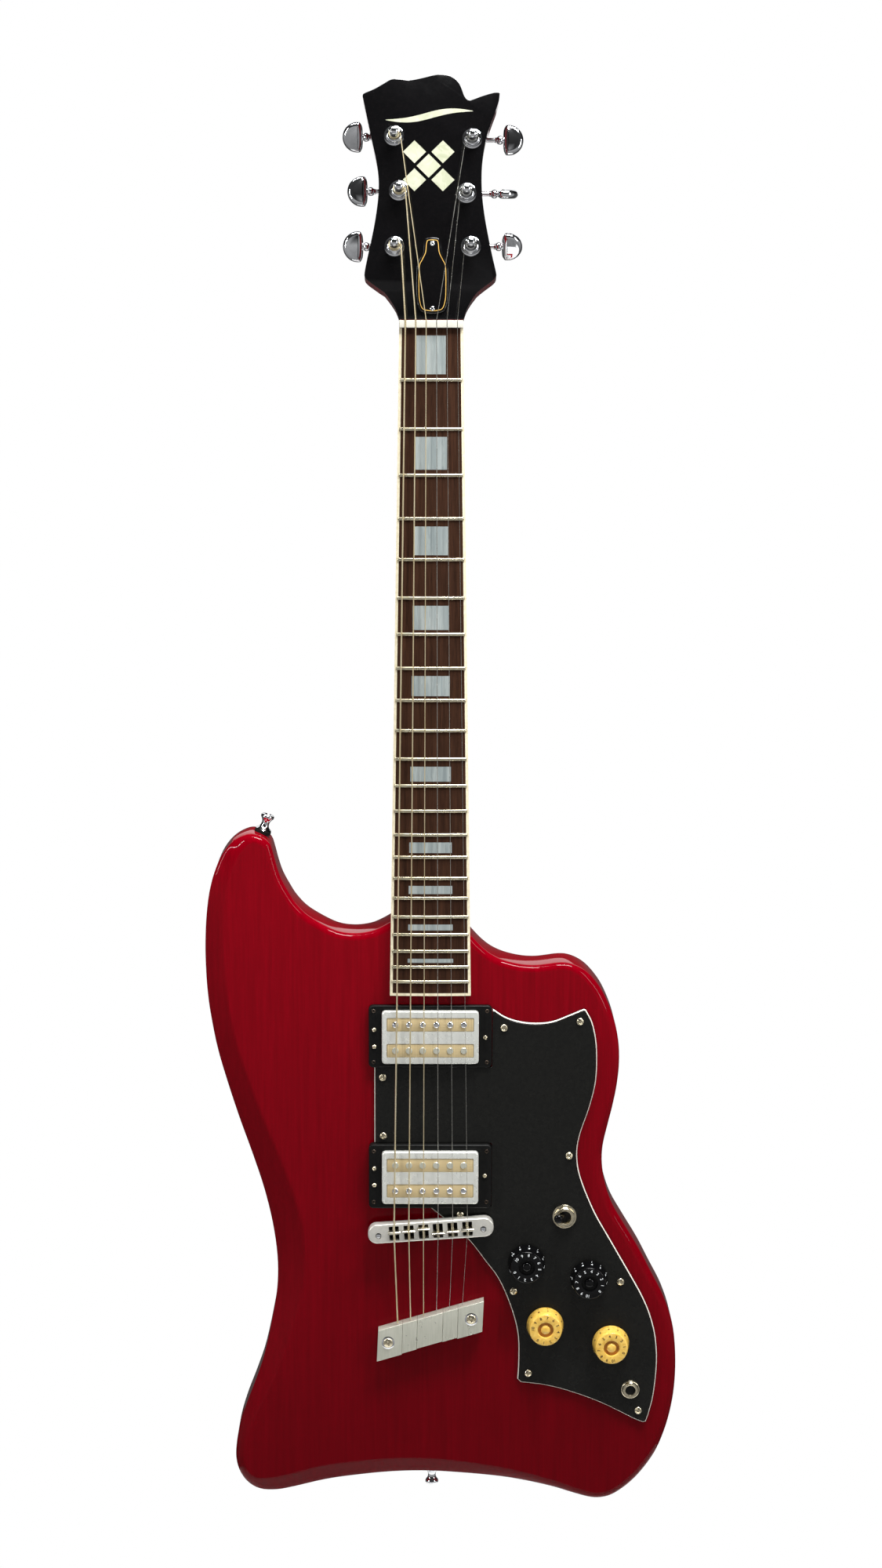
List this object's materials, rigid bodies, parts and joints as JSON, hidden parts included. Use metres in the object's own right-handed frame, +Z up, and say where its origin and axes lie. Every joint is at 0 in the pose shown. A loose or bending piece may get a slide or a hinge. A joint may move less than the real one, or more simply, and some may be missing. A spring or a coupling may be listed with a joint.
{
  "type": "electric guitar",
  "caption": "Solid-body electric guitar with offset cutaway horns, a set neck, covered pickups, a slanted bridge and string anchor, dial knobs, a toggle switch and geared tuners.",
  "frame": {"origin": "centre of the nut's lower face at the top of the fretboard, where a wall hanger's yoke holds the neck", "axes": "+Z up the neck toward the headstock, -Y out of the face toward the player's audience, +X toward the thin strings"},
  "size_m": [0.3344, 0.091, 1.0061],
  "materials": {
    "amber_plastic": "clear amber",
    "black_plastic": "polished",
    "bronze_wire": "wound wire",
    "cherry_wood": "clear gloss over stained grain",
    "chrome": "mirror",
    "cream_insert": "dotted weave",
    "head_wood": "clear gloss",
    "ivory_plastic": "polished",
    "nickel": "satin",
    "rosewood": "oiled, open grain",
    "steel": "drawn"
  },
  "bodies": {
    "guitar": {"body": "cherry_wood", "neck": "head_wood", "fretboard": "rosewood", "nut": "ivory_plastic", "truss_rod": "steel", "truss_rod_cover": "black_plastic", "strap_button_upper": "chrome", "strap_button_lower": "chrome", "pickguard": "black_plastic", "pickup_ring_neck": "black_plastic", "pickup_ring_bridge": "black_plastic", "pickup_cover_neck": "chrome", "pickup_cover_bridge": "chrome", "pickup_coils_neck": "cream_insert", "pickup_coils_bridge": "cream_insert", "bridge_frame": "chrome", "bridge_post_bass": "chrome", "bridge_post_treble": "chrome", "string_anchor": "nickel", "switch_frame": "chrome", "output_jack": "nickel", "pot_volume_neck": "steel", "pot_volume_bridge": "steel", "pot_tone_neck": "steel", "pot_tone_bridge": "steel", "string_low_e": "bronze_wire", "string_a": "bronze_wire", "string_d": "bronze_wire", "string_g": "steel", "string_b": "steel", "string_high_e": "steel", "tuner_housing_low_e": "chrome", "tuner_housing_a": "chrome", "tuner_housing_d": "chrome", "tuner_housing_g": "chrome", "tuner_housing_b": "chrome", "tuner_housing_high_e": "chrome"},
    "key_low_e": {"tuner_button_low_e": "chrome"},
    "post_low_e": {"tuner_post_low_e": "chrome"},
    "key_a": {"tuner_button_a": "chrome"},
    "post_a": {"tuner_post_a": "chrome"},
    "key_d": {"tuner_button_d": "chrome"},
    "post_d": {"tuner_post_d": "chrome"},
    "key_g": {"tuner_button_g": "chrome"},
    "post_g": {"tuner_post_g": "chrome"},
    "key_b": {"tuner_button_b": "chrome"},
    "post_b": {"tuner_post_b": "chrome"},
    "key_high_e": {"tuner_button_high_e": "chrome"},
    "post_high_e": {"tuner_post_high_e": "chrome"},
    "dial_volume_neck": {"knob_volume_neck": "black_plastic"},
    "dial_volume_bridge": {"knob_volume_bridge": "black_plastic"},
    "dial_tone_neck": {"knob_tone_neck": "amber_plastic"},
    "dial_tone_bridge": {"knob_tone_bridge": "amber_plastic"},
    "selector": {"switch_lever": "black_plastic"},
    "saddle_block_low_e": {"saddle_low_e": "chrome"},
    "saddle_block_a": {"saddle_a": "chrome"},
    "saddle_block_d": {"saddle_d": "chrome"},
    "saddle_block_g": {"saddle_g": "chrome"},
    "saddle_block_b": {"saddle_b": "chrome"},
    "saddle_block_high_e": {"saddle_high_e": "chrome"}
  },
  "joints": [
    {"name": "turn_key_low_e", "type": "hinge", "parent": "guitar", "child": "key_low_e", "pos_m": [-0.0251, 0.03788, 0.05471], "axis": [1, 0, 0], "continuous": true},
    {"name": "wind_post_low_e", "type": "hinge", "parent": "guitar", "child": "post_low_e", "pos_m": [-0.0251, 0.01448, 0.05447], "axis": [0, -0.9744, 0.225], "continuous": true},
    {"name": "turn_key_a", "type": "hinge", "parent": "guitar", "child": "key_a", "pos_m": [-0.0222, 0.04659, 0.09242], "axis": [1, 0, 0], "continuous": true},
    {"name": "wind_post_a", "type": "hinge", "parent": "guitar", "child": "post_a", "pos_m": [-0.0222, 0.02318, 0.09218], "axis": [0, -0.9744, 0.225], "continuous": true},
    {"name": "turn_key_d", "type": "hinge", "parent": "guitar", "child": "key_d", "pos_m": [-0.0256, 0.05516, 0.12954], "axis": [1, 0, 0], "continuous": true},
    {"name": "wind_post_d", "type": "hinge", "parent": "guitar", "child": "post_d", "pos_m": [-0.0256, 0.03175, 0.1293], "axis": [0, -0.9744, 0.225], "continuous": true},
    {"name": "turn_key_g", "type": "hinge", "parent": "guitar", "child": "key_g", "pos_m": [0.0279, 0.05473, 0.12769], "axis": [1, 0, 0], "continuous": true},
    {"name": "wind_post_g", "type": "hinge", "parent": "guitar", "child": "post_g", "pos_m": [0.0279, 0.03132, 0.12745], "axis": [0, -0.9744, 0.225], "continuous": true},
    {"name": "turn_key_b", "type": "hinge", "parent": "guitar", "child": "key_b", "pos_m": [0.024, 0.04623, 0.09086], "axis": [1, 0, 0], "continuous": true},
    {"name": "wind_post_b", "type": "hinge", "parent": "guitar", "child": "post_b", "pos_m": [0.024, 0.02282, 0.09062], "axis": [0, -0.9744, 0.225], "continuous": true},
    {"name": "turn_key_high_e", "type": "hinge", "parent": "guitar", "child": "key_high_e", "pos_m": [0.027, 0.03792, 0.0549], "axis": [1, 0, 0], "continuous": true},
    {"name": "wind_post_high_e", "type": "hinge", "parent": "guitar", "child": "post_high_e", "pos_m": [0.027, 0.01452, 0.05466], "axis": [0, -0.9744, 0.225], "continuous": true},
    {"name": "turn_volume_neck", "type": "hinge", "parent": "guitar", "child": "dial_volume_neck", "pos_m": [0.0684, -0.0091, -0.6565], "axis": [0, 1, 0], "range_deg": [-248, 52]},
    {"name": "turn_volume_bridge", "type": "hinge", "parent": "guitar", "child": "dial_volume_bridge", "pos_m": [0.1129, -0.0091, -0.6682], "axis": [0, 1, 0], "range_deg": [-128, 172]},
    {"name": "turn_tone_neck", "type": "hinge", "parent": "guitar", "child": "dial_tone_neck", "pos_m": [0.082, -0.0091, -0.7026], "axis": [0, 1, 0], "range_deg": [-217, 83]},
    {"name": "turn_tone_bridge", "type": "hinge", "parent": "guitar", "child": "dial_tone_bridge", "pos_m": [0.1289, -0.0091, -0.716], "axis": [0, 1, 0], "range_deg": [-111, 189]},
    {"name": "flip_selector", "type": "hinge", "parent": "guitar", "child": "selector", "pos_m": [0.0952, -0.0091, -0.6227], "axis": [0.5, 0, 0.866], "range_deg": [0, 34]},
    {"name": "slide_saddle_low_e", "type": "slide", "parent": "guitar", "child": "saddle_block_low_e", "axis": [-0.068, 0, 0.9977], "range_m": [-0.0014, 0.00194]},
    {"name": "slide_saddle_a", "type": "slide", "parent": "guitar", "child": "saddle_block_a", "axis": [-0.068, 0, 0.9977], "range_m": [-0.0014, 0.00155]},
    {"name": "slide_saddle_d", "type": "slide", "parent": "guitar", "child": "saddle_block_d", "axis": [-0.068, 0, 0.9977], "range_m": [-0.0014, 0.00055]},
    {"name": "slide_saddle_g", "type": "slide", "parent": "guitar", "child": "saddle_block_g", "axis": [-0.068, 0, 0.9977], "range_m": [-0.00115, 0.003]},
    {"name": "slide_saddle_b", "type": "slide", "parent": "guitar", "child": "saddle_block_b", "axis": [-0.068, 0, 0.9977], "range_m": [-0.0014, 0.003]},
    {"name": "slide_saddle_high_e", "type": "slide", "parent": "guitar", "child": "saddle_block_high_e", "axis": [-0.068, 0, 0.9977], "range_m": [-0.0014, 0.003]}
  ],
  "couplings": [
    {"joint": "wind_post_low_e", "follows": "turn_key_low_e", "ratio": 0.071429},
    {"joint": "wind_post_a", "follows": "turn_key_a", "ratio": 0.071429},
    {"joint": "wind_post_d", "follows": "turn_key_d", "ratio": 0.071429},
    {"joint": "wind_post_g", "follows": "turn_key_g", "ratio": 0.071429},
    {"joint": "wind_post_b", "follows": "turn_key_b", "ratio": 0.071429},
    {"joint": "wind_post_high_e", "follows": "turn_key_high_e", "ratio": 0.071429}
  ]
}
